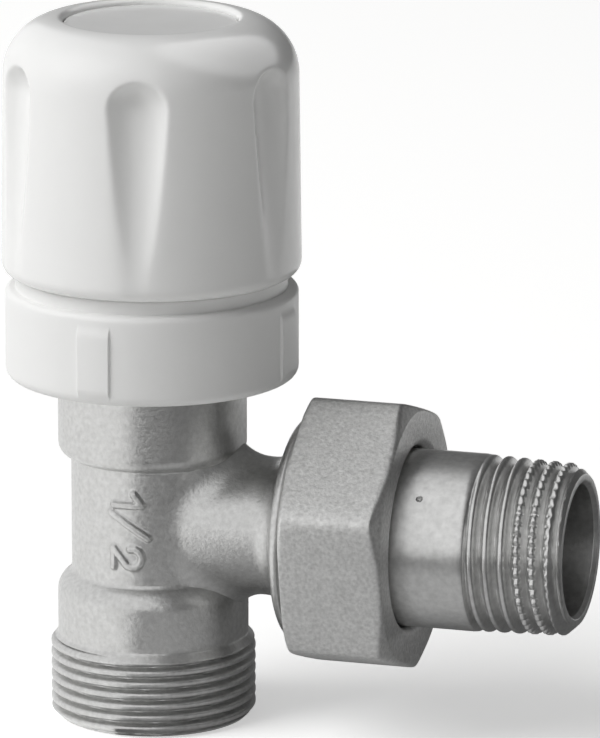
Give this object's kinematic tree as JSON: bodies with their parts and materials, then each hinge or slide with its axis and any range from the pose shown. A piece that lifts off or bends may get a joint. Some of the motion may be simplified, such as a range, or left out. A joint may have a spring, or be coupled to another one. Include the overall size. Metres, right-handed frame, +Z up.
{
  "type": "angle valve",
  "caption": "Angle radiator valve: upright inlet, side outlet with union nut and threaded tail, closed by a disc on a screw spindle under a fluted hand wheel.",
  "frame": {"origin": "middle of the inlet's end face, on the spindle axis", "axes": "+Z up the spindle axis towards the hand wheel, +X along the outlet towards the threaded tail"},
  "size_m": [0.0691, 0.0348, 0.0831],
  "materials": {
    "plated_forging": "satin nickel plate on blasted forged brass",
    "plated_nut": "matt nickel plate on blasted brass",
    "plated_tail": "satin nickel plate on turned brass",
    "turned_brass": "bright turned brass",
    "plain_steel": "zinc plated steel",
    "seal_rubber": "black EPDM",
    "fibre_seal": "pressed fibre sealing sheet",
    "white_collar": "white moulded ABS, satin",
    "white_wheel": "white moulded ABS, half gloss"
  },
  "bodies": {
    "valve": {"valve_body": "plated_forging", "bonnet": "turned_brass", "bonnet_seal": "fibre_seal", "wiper_ring": "seal_rubber", "collar_ring": "white_collar"},
    "disc": {"disc_holder": "turned_brass", "disc_gasket": "seal_rubber", "disc_washer": "plain_steel", "disc_screw": "plain_steel", "disc_clip": "plain_steel"},
    "wheel": {"handwheel": "white_wheel", "spindle": "turned_brass", "stem_seal_lower": "seal_rubber", "stem_seal_upper": "seal_rubber", "screw_washer": "plain_steel", "handwheel_screw": "plain_steel", "handwheel_cap": "white_wheel"},
    "tail": {"tailpiece": "plated_tail", "tail_seal": "seal_rubber"},
    "nut": {"union_nut": "plated_nut"}
  },
  "joints": [
    {"name": "disc_lift", "type": "slide", "parent": "valve", "child": "disc", "axis": [0, 0, 1], "range_m": [0, 0.00375]},
    {"name": "handwheel_turn", "type": "hinge", "parent": "disc", "child": "wheel", "pos_m": [0, 0, 0.06], "axis": [0, 0, 1], "range_deg": [0, 960]},
    {"name": "tail_slide", "type": "slide", "parent": "valve", "child": "tail", "axis": [1, 0, 0], "range_m": [0, 0.0077]},
    {"name": "union_nut_turn", "type": "hinge", "parent": "tail", "child": "nut", "pos_m": [0.026, 0, 0.0236], "axis": [1, 0, 0], "range_deg": [0, 1590]}
  ],
  "couplings": [
    {"joint": "handwheel_turn", "follows": "disc_lift", "rad_per_m": 4188.8},
    {"joint": "union_nut_turn", "follows": "tail_slide", "rad_per_m": 3463.7}
  ]
}
